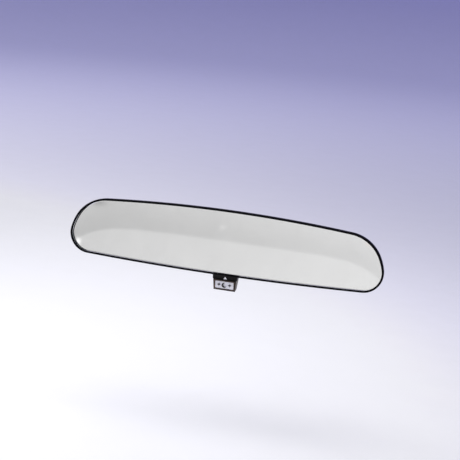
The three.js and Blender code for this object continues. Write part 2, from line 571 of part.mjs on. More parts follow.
function flipLever() {
  const hollow = prismX(fromPivot([[TAB.front + 3, BAND.top - 0.6], [BAND.back + 1, BAND.top - 0.6],
    [BAND.back + 1, -18.6], [TAB.front + 3, -20.4]]), -6.6, 6.6);
  const { neckHalf, hubR, crankR } = CHEEK;
  const neck = onCheeks([[-neckHalf, 0], [neckHalf, 0], [neckHalf, BAND.top + 1], [-neckHalf, BAND.top + 1]]);
  const hub = onCheeks(circle(0, 0, hubR, 24));
  const crankBoss = onCheeks(circle(...crankUpright, crankR, 20));
  const crankWeb = onCheeks([
    [-crankR, 0], [crankR, 0], [crankR - 0.2, crankLength], [-crankR - 0.2, crankLength]]);
  const forkRoom = box(-CHEEK.inner, CHEEK.inner, 2, 22, LEVER_PIVOT.z - 4.2, LEVER_PIVOT.z + 9);
  const bores = [
    rodX(LEVER_PIVOT.y, LEVER_PIVOT.z, LEVER_PIVOT.pinR + GAP, -20, 20),
    prismX(fromPivot(circle(...crankUpright, CRANK_PIN_R + GAP, 20)), -20, 20),
  ];
  const seatHalf = LABEL.half + GAP;
  const labelSeat = box(-seatHalf, seatHalf, faceY - 1, faceY + LABEL.seat,
    LEVER_PIVOT.z + LABEL.bottom - GAP, LEVER_PIVOT.z + LABEL.top + GAP);
  const whole = union(tabBody(), neck, hub, crankBoss, crankWeb);
  return leanLever(cut(whole, hollow, forkRoom, labelSeat, ...bores));
}

const faceY = LEVER_PIVOT.y + TAB.front;
const labelFront = faceY + LABEL.seat - GAP - LABEL.thick;

function leverLabel() {
  const outlinePoints = roundedRect(
    -LABEL.half, LABEL.half, LEVER_PIVOT.z + LABEL.bottom, LEVER_PIVOT.z + LABEL.top, 0.4, 2);
  return leanLever(prismY(outlinePoints, labelFront, labelFront + LABEL.thick));
}

// Crescent open to the right, standing just off the label.
function crescentSymbol() {
  const middle = LEVER_PIVOT.z + (LABEL.bottom + LABEL.top) / 2;
  const back = labelFront - GAP;
  const moon = prismY(circle(0, middle, MOON.r, 28), back - MOON.thick, back);
  const bite = prismY(circle(MOON.biteX, middle + MOON.biteUp, MOON.biteR, 28), faceY - 2, faceY + 1);
  return leanLever(cut(moon, bite));
}

// Small triangle on the shoulder, pointing up.
function pointer() {
  const v = LEVER_PIVOT.z + POINTER.base;
  const back = LEVER_PIVOT.y + BAND.front - GAP;
  const corners = [
    [POINTER.x - POINTER.half, v], [POINTER.x + POINTER.half, v], [POINTER.x, v + POINTER.height]];
  return leanLever(prismY(corners, back - POINTER.thick, back));
}

const crankPin = () => leanLever(onCheeks(circle(...crankUpright, CRANK_PIN_R, 18)));

// ---------------------------------------------------------------- assembly
const finish = {
  vinyl: { color: 0x16161a, roughness: 0.38, metalness: 0 },
  glass: { color: 0xdfe6e4, roughness: 0.02, metalness: 0 },
  mirror: { color: 0xe6e8ea, roughness: 0.03, metalness: 1 },
  shell: { color: 0x1a1a1d, roughness: 0.55, metalness: 0 },
  zinc: { color: 0xb9bcc0, roughness: 0.35, metalness: 1 },
  steel: { color: 0x9a9da2, roughness: 0.3, metalness: 1 },
  foam: { color: 0x3a3a3c, roughness: 0.95, metalness: 0 },
  cast: { color: 0xa5a7aa, roughness: 0.5, metalness: 0.8 },
  nylon: { color: 0xe9e6da, roughness: 0.5, metalness: 0 },
  black: { color: 0x141416, roughness: 0.45, metalness: 0 },
  lever: { color: 0x121214, roughness: 0.4, metalness: 0 },
  label: { color: 0xd8d6da, roughness: 0.35, metalness: 0.1 },
  ink: { color: 0x241f20, roughness: 0.5, metalness: 0 },
};

const group = new THREE.Group();

function add(name, body, look) {
  const mesh = new THREE.Mesh(geometryOf(body), new THREE.MeshStandardMaterial(finish[look]));
  mesh.name = name;
  group.add(mesh);
}

add('bezel_rim', bezelRim(), 'vinyl');
add('prism_glass', prismGlass(), 'glass');
add('silver_coating', silverCoating(), 'mirror');
add('rear_shell', rearShell(), 'shell');
add('inner_frame', innerFrame(), 'zinc');
BOSS.places.forEach(([x, z], i) => add(`frame_screw_${i + 1}`, frameScrew(x, z), 'steel'));
FOAM.places.forEach(([side, z0, z1], i) => add(`foam_pad_${i + 1}`, foamPad(side, z0, z1), 'foam'));
const pin = ({ y, z, pinR, pinHalf }) => rodX(y, z, pinR, -pinHalf, pinHalf, 18);
add('tilt_pin', pin(HINGE), 'steel');
add('tilt_pin_clip_left', retainingClip(HINGE, -1, TILT_CLIP), 'steel');
add('tilt_pin_clip_right', retainingClip(HINGE, 1, TILT_CLIP), 'steel');
add('lever_pin', pin(LEVER_PIVOT), 'steel');
add('lever_pin_clip_left', retainingClip(LEVER_PIVOT, -1, LEVER_CLIP), 'steel');
add('lever_pin_clip_right', retainingClip(LEVER_PIVOT, 1, LEVER_CLIP), 'steel');
add('toggle_plate', togglePlate(), 'zinc');
add('socket_body', socketBody(), 'cast');
[-1, 1].forEach((side, i) => add(`socket_screw_${i + 1}`, socketScrew(side), 'steel'));
add('clamp_ring', clampRing(), 'steel');
CLAMP.anglesDeg.forEach((a, i) => {
  add(`clamp_screw_${i + 1}`, clampScrew(a), 'steel');
  add(`lock_washer_${i + 1}`, lockWasher(a), 'steel');
});
add('seat_front', seatFront(), 'nylon');
add('seat_rear', seatRear(), 'nylon');
add('ball_stud', ballStud(), 'steel');
add('lock_nut', lockNut(), 'zinc');
add('mount_arm', mountArm(), 'black');
add('set_screw', setScrew(), 'steel');
add('windscreen_button', windscreenButton(), 'cast');
add('flip_lever', flipLever(), 'lever');
add('lever_label', leverLabel(), 'label');
add('crescent_symbol', crescentSymbol(), 'ink');
add('pointer', pointer(), 'label');
add('crank_pin', crankPin(), 'steel');

group.position.set(0, -MOUNT.y, -MOUNT.z);
export default group;
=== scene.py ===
"""Interior day/night rearview mirror: fine surfaces, materials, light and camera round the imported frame."""
import bmesh
import bpy
import json
import math
from mathutils import Matrix, Vector


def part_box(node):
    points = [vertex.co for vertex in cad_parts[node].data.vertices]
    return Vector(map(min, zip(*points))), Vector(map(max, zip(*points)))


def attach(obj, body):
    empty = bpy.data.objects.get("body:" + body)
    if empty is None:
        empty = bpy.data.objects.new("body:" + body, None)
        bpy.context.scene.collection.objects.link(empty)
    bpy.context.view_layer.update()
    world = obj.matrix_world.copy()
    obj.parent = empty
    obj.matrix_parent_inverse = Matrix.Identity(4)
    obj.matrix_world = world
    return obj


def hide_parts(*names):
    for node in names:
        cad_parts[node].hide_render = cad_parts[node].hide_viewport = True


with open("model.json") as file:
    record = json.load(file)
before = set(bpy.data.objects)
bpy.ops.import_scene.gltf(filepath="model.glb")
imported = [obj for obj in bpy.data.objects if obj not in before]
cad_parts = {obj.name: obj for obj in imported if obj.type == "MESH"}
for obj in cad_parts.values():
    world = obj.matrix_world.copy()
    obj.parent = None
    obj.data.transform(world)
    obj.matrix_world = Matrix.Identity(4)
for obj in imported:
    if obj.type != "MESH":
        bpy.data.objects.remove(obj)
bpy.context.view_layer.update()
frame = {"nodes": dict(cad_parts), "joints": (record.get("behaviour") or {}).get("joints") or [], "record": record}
NODES = frame["nodes"]
MM = 0.001

# ------------------------------------------------------------------ places, from the frame
RIM_LO, RIM_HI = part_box("bezel_rim")
GLASS_LO, GLASS_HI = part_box("prism_glass")
SHELL_LO, SHELL_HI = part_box("rear_shell")
STUD_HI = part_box("ball_stud")[1]
JOINTS = {j["name"]: j for j in frame["joints"]}
BALL = Vector(JOINTS["head_yaw"]["pos_m"])
LEVER_PIVOT = Vector(JOINTS["lever_flip"]["pos_m"])

# The rim outline's right half, clockwise from the top centre, as arcs of (radius in mm, angle in degrees):
# top edge, upper corner, end and lower corner. The bottom edge's arc closes it.
OUTLINE_TOP = 26.3
OUTLINE_ARCS = ((1175, 4.83), (29.9, 60.4), (46, 11.5), (16.2, 100.65))
HALF_WIDTH = RIM_HI.x / MM
HALF_HEIGHT = 26.1
# Everything on the head is placed in mm from the middle of the rim's front plane.
HEAD = Vector((0, RIM_LO.y, RIM_HI.z - OUTLINE_TOP * MM))


def at(x, y, z):
    """A point of the head, in mm right, back and up from the middle of the rim's front plane."""
    return HEAD + Vector((x, y, z)) * MM


def smoothstep(low, high, value):
    t = min(1.0, max(0.0, (value - low) / (high - low)))
    return t * t * (3 - 2 * t)


# ------------------------------------------------------------------ materials
def new_material(name):
    m = bpy.data.materials.new(name)
    m.use_nodes = True
    return m, m.node_tree, m.node_tree.nodes["Principled BSDF"]


def object_coordinates(tree, stretch=(1, 1, 1)):
    coord = tree.nodes.new("ShaderNodeTexCoord")
    mapping = tree.nodes.new("ShaderNodeMapping")
    mapping.inputs["Scale"].default_value = stretch
    tree.links.new(coord.outputs["Object"], mapping.inputs["Vector"])
    return mapping.outputs["Vector"]


def noise(tree, vector, size_mm, detail=4, rough=0.55, distortion=0.0):
    """Noise whose features are about size_mm across."""
    n = tree.nodes.new("ShaderNodeTexNoise")
    n.inputs["Scale"].default_value = 1 / (size_mm * MM)
    n.inputs["Detail"].default_value = detail
    n.inputs["Roughness"].default_value = rough
    n.inputs["Distortion"].default_value = distortion
    tree.links.new(vector, n.inputs["Vector"])
    return n.outputs["Fac"]


def cells(tree, vector, size_mm):
    """Soft rounded cells about size_mm across, for moulded grain."""
    v = tree.nodes.new("ShaderNodeTexVoronoi")
    v.feature = "SMOOTH_F1"
    v.inputs["Scale"].default_value = 1 / (size_mm * MM)
    tree.links.new(vector, v.inputs["Vector"])
    return v.outputs["Distance"]


def as_colour(value):
    """An opaque colour from three values, or a grey from one."""
    return (*value, 1) if isinstance(value, tuple) else (value, value, value, 1)


def ramp(tree, fac, low, high, start=0.3, end=0.7):
    """Turns a 0..1 value into a value or colour between low and high."""
    r = tree.nodes.new("ShaderNodeValToRGB")
    r.color_ramp.elements[0].position = start
    r.color_ramp.elements[0].color = as_colour(low)
    r.color_ramp.elements[1].position = end
    r.color_ramp.elements[1].color = as_colour(high)
    tree.links.new(fac, r.inputs["Fac"])
    return r.outputs["Color"]


def mix_colour(tree, fac, painted_light_and_shade_below, above):
    """A varying colour below, overlaid with one plain colour as the factor rises."""
    m = tree.nodes.new("ShaderNodeMix")
    m.data_type = "RGBA"
    m.inputs["B"].default_value = as_colour(above)
    tree.links.new(fac, m.inputs["Factor"])
    tree.links.new(painted_light_and_shade_below, m.inputs["A"])
    return m.outputs["Result"]


def maths(tree, operation, a, b):
    m = tree.nodes.new("ShaderNodeMath")
    m.operation = operation
    tree.links.new(a, m.inputs[0])
    tree.links.new(b, m.inputs[1])
    return m.outputs["Value"]


def bump(tree, shader, height, depth_mm):
    b = tree.nodes.new("ShaderNodeBump")
    b.inputs["Distance"].default_value = depth_mm * MM
    tree.links.new(height, b.inputs["Height"])
    tree.links.new(b.outputs["Normal"], shader.inputs["Normal"])


def edge_wear(tree):
    """0 on flats and 1 on exposed edges, from the mesh's pointiness."""
    geometry = tree.nodes.new("ShaderNodeNewGeometry")
    return ramp(tree, geometry.outputs["Pointiness"], 0.0, 1.0, 0.52, 0.60)


def plastic(name, dark, light, roughness, grain_mm, grain_depth, wear=None, coat=0.0, specular=0.5):
    """Moulded plastic: slow colour drift, uneven gloss, a fine grain and rubbed edges."""
    m, tree, shader = new_material(name)
    where = object_coordinates(tree)
    colour = ramp(tree, noise(tree, where, 14), dark, light)
    if wear:
        patches = ramp(tree, noise(tree, where, 2.2, 6), 0.0, 1.0, 0.4, 0.65)
        scuffs = maths(tree, "MULTIPLY", edge_wear(tree), patches)
        colour = mix_colour(tree, scuffs, colour, wear)
    tree.links.new(colour, shader.inputs["Base Color"])
    smears = ramp(tree, noise(tree, where, 9, 5, 0.6, 0.8), roughness[0], roughness[1])
    tree.links.new(smears, shader.inputs["Roughness"])
    grain = maths(tree, "ADD", cells(tree, where, grain_mm), noise(tree, where, grain_mm * 0.5, 2))
    bump(tree, shader, grain, grain_depth)
    shader.inputs["Coat Weight"].default_value = coat
    shader.inputs["Coat Roughness"].default_value = 0.12
    shader.inputs["Specular IOR Level"].default_value = specular
    return m


def metal(name, dark, light, roughness, brush, brush_mm, depth, metallic=1.0, spots=None):
    """Metal: brushed or cast grain, uneven tint and roughness, and brighter rubbed edges.
    brush stretches the grain along the directions with the smaller numbers."""
    m, tree, shader = new_material(name)
    where = object_coordinates(tree)
    along = object_coordinates(tree, brush)
    colour = ramp(tree, noise(tree, where, 5, 5, 0.6, 0.4), dark, light)
    if spots:
        tarnish = ramp(tree, noise(tree, where, 3.1, 8, 0.7), 0.0, 1.0, 0.55, 0.75)
        colour = mix_colour(tree, tarnish, colour, spots)
    bright = tuple(min(1.0, c * 1.35) for c in light)
    colour = mix_colour(tree, edge_wear(tree), colour, bright)
    tree.links.new(colour, shader.inputs["Base Color"])
    streaks = noise(tree, along, brush_mm, 6, 0.65)
    tree.links.new(ramp(tree, streaks, roughness[0], roughness[1]), shader.inputs["Roughness"])
    bump(tree, shader, streaks, depth)
    shader.inputs["Metallic"].default_value = metallic
    return m


VINYL = plastic("rim_vinyl", (0.0015, 0.0015, 0.002), (0.003, 0.003, 0.004), (0.40, 0.55), 0.35, 0.005,
                wear=(0.006, 0.006, 0.007), specular=0.05)
HOUSING = plastic("housing_plastic", (0.010, 0.010, 0.011), (0.020, 0.020, 0.022), (0.40, 0.56), 0.55, 0.035,
                  wear=(0.075, 0.075, 0.08))
LEVER = plastic("lever_plastic", (0.0015, 0.0014, 0.0013), (0.004, 0.0035, 0.003), (0.24, 0.38), 0.4, 0.005,
                wear=(0.05, 0.036, 0.026), specular=0.14)
NYLON = plastic("nylon", (0.62, 0.58, 0.47), (0.80, 0.77, 0.66), (0.35, 0.5), 0.7, 0.008)
FOAM = plastic("foam", (0.015, 0.015, 0.016), (0.045, 0.045, 0.05), (0.85, 0.98), 0.6, 0.12)
INK = plastic("symbol_ink", (0.012, 0.009, 0.009), (0.03, 0.022, 0.02), (0.35, 0.5), 0.3, 0.004)
PAINT = plastic("arm_paint", (0.010, 0.010, 0.011), (0.020, 0.020, 0.022), (0.30, 0.42), 0.7, 0.006,
                wear=(0.22, 0.21, 0.20), coat=0.2)
ZINC = metal("plated_steel", (0.52, 0.50, 0.42), (0.70, 0.68, 0.60), (0.25, 0.42), (1, 1, 6), 1.2, 0.003,
             spots=(0.46, 0.36, 0.20))
SCREW = metal("screw_steel", (0.42, 0.42, 0.44), (0.62, 0.62, 0.64), (0.22, 0.38), (1, 1, 1), 0.4, 0.003,
              spots=(0.26, 0.20, 0.15))
RING = metal("ring_steel", (0.40, 0.40, 0.42), (0.60, 0.60, 0.62), (0.24, 0.40), (1, 8, 1), 1.0, 0.004)
CAST = metal("die_cast", (0.38, 0.39, 0.41), (0.55, 0.56, 0.58), (0.42, 0.60), (1, 1, 1), 0.6, 0.03)
POLISHED = metal("ball_steel", (0.62, 0.63, 0.65), (0.80, 0.81, 0.83), (0.08, 0.2), (1, 12, 1), 0.9, 0.0015)
FOIL = metal("label_foil", (0.66, 0.65, 0.68), (0.80, 0.79, 0.82), (0.34, 0.5), (1, 1, 14), 0.9, 0.003,
             metallic=0.35)


def glass_material():
    """Clear polished glass, with faint wiping marks in its gloss."""
    m, tree, shader = new_material("mirror_glass")
    where = object_coordinates(tree, (1, 1, 3))
    smears = ramp(tree, noise(tree, where, 26, 5, 0.6, 1.6), 0.0, 0.012, 0.45, 0.75)
    tree.links.new(smears, shader.inputs["Roughness"])
    shader.inputs["Base Color"].default_value = (0.995, 0.995, 0.995, 1)
    shader.inputs["IOR"].default_value = 1.5
    shader.inputs["Transmission Weight"].default_value = 1.0
    return m


def ground_edge_material():
    """The edge of the glass, ground matt."""
    m, tree, shader = new_material("ground_glass_edge")
    where = object_coordinates(tree)
    tree.links.new(ramp(tree, noise(tree, where, 0.5, 6), 0.16, 0.34), shader.inputs["Roughness"])
    tint = ramp(tree, noise(tree, where, 3), (0.40, 0.50, 0.47), (0.55, 0.64, 0.60))
    tree.links.new(tint, shader.inputs["Base Color"])
    bump(tree, shader, noise(tree, where, 0.22, 3), 0.004)
    shader.inputs["IOR"].default_value = 1.5
    shader.inputs["Transmission Weight"].default_value = 0.5
    return m


def silver_material():
    """Silvering, a little duller in a few cloudy patches."""
    m, tree, shader = new_material("silvering")
    where = object_coordinates(tree)
    clouds = noise(tree, where, 30, 5, 0.6, 0.8)
    tree.links.new(ramp(tree, clouds, (0.90, 0.90, 0.90), (0.94, 0.94, 0.94)), shader.inputs["Base Color"])
    tree.links.new(ramp(tree, noise(tree, where, 18, 4), 0.004, 0.016, 0.4, 0.8), shader.inputs["Roughness"])
    shader.inputs["Metallic"].default_value = 1.0
    return m


GLASS = glass_material()
GROUND = ground_edge_material()
SILVER = silver_material()

SLOT_MATERIALS = {
    "rim_vinyl": VINYL, "mirror_glass": GLASS, "silvering": SILVER, "housing_plastic": HOUSING,
    "plated_steel": ZINC, "screw_steel": SCREW, "foam": FOAM, "die_cast": CAST, "ring_steel": RING,
    "ball_steel": POLISHED, "nylon": NYLON, "arm_paint": PAINT, "lever_plastic": LEVER,
    "label_foil": FOIL, "symbol_ink": INK,
}
NODE_SLOT = {s["node"]: s["material_slot"] for s in frame["record"]["subparts"]}
NODE_BODY = {n: body for body, names in frame["record"]["behaviour"]["bodies"].items() for n in names}


# ------------------------------------------------------------------ mesh helpers
def mesh_object(name, vertices, faces, material, smooth_deg=35):
    """A new object with outward normals, smooth across edges gentler than smooth_deg."""
    mesh = bpy.data.meshes.new(name)
    mesh.from_pydata([tuple(v) for v in vertices], [], faces)
    b = bmesh.new()
    b.from_mesh(mesh)
    bmesh.ops.recalc_face_normals(b, faces=b.faces)
    b.to_mesh(mesh)
    b.free()
    mesh.materials.append(material)
    obj = bpy.data.objects.new(name, mesh)
    bpy.context.collection.objects.link(obj)
    shade(obj, smooth_deg)
    return obj


def shade(obj, angle_deg):
    """Smooth shading, broken at edges sharper than an angle."""
    mesh = obj.data
    mesh.polygons.foreach_set("use_smooth", [True] * len(mesh.polygons))
    b = bmesh.new()
    b.from_mesh(mesh)
    for edge in b.edges:
        edge.smooth = len(edge.link_faces) == 2 and edge.calc_face_angle(0) < math.radians(angle_deg)
    b.to_mesh(mesh)
    b.free()


def apply_modifiers(obj):
    graph = bpy.context.evaluated_depsgraph_get()
    done = bpy.data.meshes.new_from_object(obj.evaluated_get(graph))
    obj.modifiers.clear()
    obj.data = done


def round_edges(obj, width_mm, segments, sharper_than_deg):
    bevel = obj.modifiers.new("rounded_edges", "BEVEL")
    bevel.width = width_mm * MM
    bevel.segments = segments
    bevel.limit_method = "ANGLE"
    bevel.angle_limit = math.radians(sharper_than_deg)
    apply_modifiers(obj)


def place(obj, node):
    """Stands in for a CAD node: rides on its body, and the CAD node is hidden."""
    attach(obj, NODE_BODY[node])
    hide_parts(node)
    return obj


SHARP_DEG = 32


def refined(node, width_mm):
    """The CAD piece with its flat faces joined up and every sharp edge rounded."""
    mesh = NODES[node].data.copy()
    mesh.name = node + "_fine"
    b = bmesh.new()
    b.from_mesh(mesh)
    bmesh.ops.remove_doubles(b, verts=b.verts, dist=0.004 * MM)
    bmesh.ops.dissolve_limit(b, angle_limit=math.radians(0.6), verts=b.verts, edges=b.edges)
    b.to_mesh(mesh)
    b.free()
    mesh.materials.clear()
    mesh.materials.append(SLOT_MATERIALS[NODE_SLOT[node]])
    obj = bpy.data.objects.new(node + "_fine", mesh)
    bpy.context.collection.objects.link(obj)
    round_edges(obj, width_mm, 3, SHARP_DEG)
    shade(obj, SHARP_DEG)
    return place(obj, node)


def sweep_rings(name, rings, material, closed_section=True, smooth_deg=40):
    """A surface through rings of points; a closed section joins the last ring to the first."""
    count = len(rings[0])
    vertices = [p for ring in rings for p in ring]
    faces = []
    last = len(rings) if closed_section else len(rings) - 1
    for r in range(last):
        a0 = r * count
        b0 = ((r + 1) % len(rings)) * count
        for i in range(count):
            j = (i + 1) % count
            faces.append((a0 + i, a0 + j, b0 + j, b0 + i))
    if not closed_section:
        faces.append(tuple(range(count)))
        faces.append(tuple(range(len(vertices) - 1, len(vertices) - 1 - count, -1)))
    return mesh_object(name, vertices, faces, material, smooth_deg)


def turned(name, profile, centre, material, sides=96, smooth_deg=30):
    """A closed profile of (radius mm, y mm) turned about the y direction through a point."""
    vertices = []
    faces = []
    rows = []
    for radius, y in profile:
        if radius < 1e-6:
            rows.append([len(vertices)] * sides)
            vertices.append(centre + Vector((0, y, 0)) * MM)
            continue
        rows.append(list(range(len(vertices), len(vertices) + sides)))
        for i in range(sides):
            a = 2 * math.pi * i / sides
            vertices.append(centre + Vector((radius * math.cos(a), y, radius * math.sin(a))) * MM)
    on_axis = profile[0][0] < 1e-6 and profile[-1][0] < 1e-6
    for k in range(len(rows) - (1 if on_axis else 0)):
        lower, upper = rows[k], rows[(k + 1) % len(rows)]
        for i in range(sides):
            j = (i + 1) % sides
            corners = []
            for v in (lower[i], lower[j], upper[j], upper[i]):
                if v not in corners:
                    corners.append(v)
            faces.append(tuple(corners))
    return mesh_object(name, vertices, faces, material, smooth_deg)


def arc(radius, start_deg, end_deg, steps):
    """Points (distance from the y direction, y) in mm on a sphere's section, angles from +y."""
    angles = [math.radians(start_deg + (end_deg - start_deg) * i / steps) for i in range(steps + 1)]
    return [(radius * math.sin(a), radius * math.cos(a)) for a in angles]


# ------------------------------------------------------------------ rim outline
FINE_STEPS = (60, 44, 12, 64, 60)
SHELL_STEPS = (26, 30, 8, 40, 26)


def outline(inset, steps=FINE_STEPS):
    """The rim outline moved in by a distance, as (x, z) in mm, clockwise from the top centre."""
    x, z, heading = 0.0, OUTLINE_TOP - inset, 0.0
    points = [(x, z)]
    left = 180 - sum(angle for _, angle in OUTLINE_ARCS)
    for (radius, angle), count in zip((*OUTLINE_ARCS, (None, left)), steps):
        radius = x / math.sin(math.radians(left)) if radius is None else radius - inset
        cx = x - radius * math.sin(heading)
        cz = z - radius * math.cos(heading)
        for i in range(1, count + 1):
            a = heading + math.radians(angle) * i / count
            points.append((cx + radius * math.sin(a), cz + radius * math.cos(a)))
        heading += math.radians(angle)
        x, z = points[-1]
    points[-1] = (0.0, z)
    return points + [(-px, pz) for px, pz in reversed(points[1:-1])]


def ring_at(inset, y):
    """The rim outline, moved in, as points at one depth behind the rim's front plane."""
    return [at(x, y, z) for x, z in outline(inset)]


# ------------------------------------------------------------------ head: rim, glass, silvering, shell
RIM_DEPTH = (RIM_HI.y - RIM_LO.y) / MM
GLASS_FRONT = (GLASS_LO.y - RIM_LO.y) / MM
GLASS_INSET = HALF_WIDTH - GLASS_HI.x / MM
GLASS_BACK_LOW, GLASS_BACK_HIGH = 3.0, (GLASS_HI.y - RIM_LO.y) / MM
BEVEL_WIDTH, BEVEL_DEPTH, BEVEL_STEPS = 0.9, 0.07, 7


def bezel():
    """Trim swept round the outline: each part of its section is a list of (inset, depth) in mm."""
    lip = [(GLASS_INSET - 0.3, 0.74), (1.56, 0.74), (1.65, 0.66), (1.67, 0.5), (1.58, 0.26), (1.38, 0.1)]
    front = [(1.0, 0.02), (0.66, 0.0), (0.38, 0.05), (0.18, 0.16), (0.06, 0.34), (0.01, 0.6)]
    side = [(0.0, 0.9), (0.0, 1.8), (0.12, 2.8), (0.3, 4.2), (0.46, RIM_DEPTH - 0.25)]
    back = [(0.55, RIM_DEPTH - 0.05), (0.68, RIM_DEPTH), (0.84, RIM_DEPTH - 0.02), (0.9, RIM_DEPTH - 0.2)]
    inside = [(0.78, 3.6), (0.66, 1.8)]
    rings = [ring_at(inset, y) for inset, y in lip + front + side + back + inside]
    obj = sweep_rings("bezel_rim_fine", rings, VINYL, smooth_deg=60)
    return place(obj, "bezel_rim")


def glass_back(z):
    """Depth of the silvered face behind the rim's front plane: the glass is a wedge, thick at the top."""
    share = (z + HALF_HEIGHT) / (2 * HALF_HEIGHT)
    return GLASS_BACK_LOW + share * (GLASS_BACK_HIGH - GLASS_BACK_LOW)


def glass():
    """Flat polished front, a shallow polished bevel round it, ground sides and the sloping back."""
    rings = []
    flat_inset = GLASS_INSET + 0.3 + BEVEL_WIDTH
    for k in range(BEVEL_STEPS + 1):
        t = k / BEVEL_STEPS
        soft = smoothstep(0, 1, t) * 0.25 + t * 0.75
        rings.append(ring_at(flat_inset - BEVEL_WIDTH * t, GLASS_FRONT + BEVEL_DEPTH * soft))
    rings.append(ring_at(GLASS_INSET, GLASS_FRONT + BEVEL_DEPTH + 0.25))
    rings.append([at(x, glass_back(z) - 0.15, z) for x, z in outline(GLASS_INSET + 0.2)])
    rings.append([at(x, glass_back(z), z) for x, z in outline(GLASS_INSET + 0.35)])
    obj = sweep_rings("prism_glass_fine", rings, GLASS, closed_section=False, smooth_deg=20)
    obj.data.materials.append(GROUND)
    count = len(rings[0])
    for index, face in enumerate(obj.data.polygons):
        if BEVEL_STEPS * count <= index < (len(rings) - 1) * count:
            face.material_index = 1
        if len(face.vertices) > 4:
            face.use_smooth = False
    return place(obj, "prism_glass")


def silvering():
    """The coating, laid on the back of the glass."""
    edge = outline(GLASS_INSET + 0.55)
    front = [at(x, glass_back(z) + 0.012, z) for x, z in edge]
    rear = [at(x, glass_back(z) + 0.28, z) for x, z in outline(GLASS_INSET + 0.6)]
    obj = sweep_rings("silver_coating_fine", [front, rear], SILVER, closed_section=False)
    return place(obj, "silver_coating")


SHELL_FRONT = (SHELL_LO.y - RIM_LO.y) / MM
SHELL_BACK = (SHELL_HI.y - RIM_LO.y) / MM
SHELL_WALL = 1.6
SHELL_STATIONS = 26
# How the shell draws in towards its back, in mm: straight draft, then the dome's crown, more at the ends.
SHELL_DRAFT, SHELL_CROWN, SHELL_INSET, SHELL_END_FACTOR = 0.2, 16, 1.2, 2.2
OPENING_RADIUS = 16.1
BOSS_PLACES = ((-52, 9), (-52, -6), (52, 9), (52, -6))
BOSS_SECTION = ((1.6, 9.5), (3.0, 9.5), (3.2, 9.8), (3.2, 21.6), (1.6, 21.6))


def shell_ring(share, grow):
    """The shell's outline at a share of its depth, grown by a wall thickness in mm."""
    depth = SHELL_BACK - SHELL_FRONT
    drawn = SHELL_DRAFT * depth * share + SHELL_CROWN * (1 - math.sqrt(max(0, 1 - share * share)))
    sx = (HALF_WIDTH - SHELL_INSET - drawn * SHELL_END_FACTOR + grow) / HALF_WIDTH
    sz = (HALF_HEIGHT - SHELL_INSET - drawn + grow) / HALF_HEIGHT
    y = SHELL_FRONT + depth * share + grow * share
    return [at(x * sx, y, z * sz) for x, z in outline(0, SHELL_STEPS)]


def shell():
    """Domed back with an open front, the socket's opening, the lever's slot and four screw bosses."""
    shares = [math.sin(math.radians(90 * i / SHELL_STATIONS)) for i in range(SHELL_STATIONS + 1)]
    outer = [shell_ring(s, 0) for s in shares]
    inner = [shell_ring(s, -SHELL_WALL) for s in shares]
    count = len(outer[0])
    vertices = [p for ring in outer + inner for p in ring]
    faces = []
    for shift, flip in ((0, False), (len(outer) * count, True)):
        for r in range(len(outer) - 1):
            for i in range(count):
                j = (i + 1) % count
                quad = (shift + r * count + i, shift + r * count + j,
                        shift + (r + 1) * count + j, shift + (r + 1) * count + i)
                faces.append(quad[::-1] if flip else quad)
        top = [shift + (len(outer) - 1) * count + i for i in range(count)]
        faces.append(tuple(top[::-1] if flip else top))
    for i in range(count):
        j = (i + 1) % count
        faces.append((i, len(outer) * count + i, len(outer) * count + j, j))
    obj = mesh_object("rear_shell_fine", vertices, faces, HOUSING, 30)
    bore = [(0, 14), (OPENING_RADIUS, 14), (OPENING_RADIUS, 27), (0, 27)]
    hole = turned("opening_tool", bore, at(0, 0, 0), HOUSING)
    slot = box_object("slot_tool", at(-6.4, 5.2, -30), at(6.4, 16.4, -16.4), HOUSING)
    bosses = [turned("boss", BOSS_SECTION, at(x, 0, z), HOUSING, 32) for x, z in BOSS_PLACES]
    for tool in (hole, slot):
        cut = obj.modifiers.new("cut", "BOOLEAN")
        cut.operation = "DIFFERENCE"
        cut.solver = "EXACT"
        cut.object = tool
    apply_modifiers(obj)
    for tool in (hole, slot):
        bpy.data.objects.remove(tool)
    join([obj, *bosses])
    shade(obj, 30)
    return place(obj, "rear_shell")


def box_object(name, lo, hi, material):
    corners = [(x, y, z) for x in (lo.x, hi.x) for y in (lo.y, hi.y) for z in (lo.z, hi.z)]
    faces = [(0, 1, 3, 2), (4, 6, 7, 5), (0, 4, 5, 1), (2, 3, 7, 6), (0, 2, 6, 4), (1, 5, 7, 3)]
    return mesh_object(name, corners, faces, material)


def join(objects):
    """Joins the meshes of several objects into the first."""
    b = bmesh.new()
    for o in objects:
        b.from_mesh(o.data)
    b.to_mesh(objects[0].data)
    b.free()
    for o in objects[1:]:
        bpy.data.objects.remove(o)


# ------------------------------------------------------------------ ball joint
BALL_RADIUS = 6.5
BALL_FLAT_DEG = 165
STEM_RADIUS = 2.8
COLLAR_RADIUS = 4.2
SHANK_RADIUS = 2.6
SHANK_LENGTH = 8
SEAT_INNER, SEAT_OUTER = 6.8, 8.0
# The seats' edges, in degrees off the stem.
SEAT_FRONT_EDGE, SEAT_REAR_EDGE, SEAT_MOUTH = 104, 86, 56.6


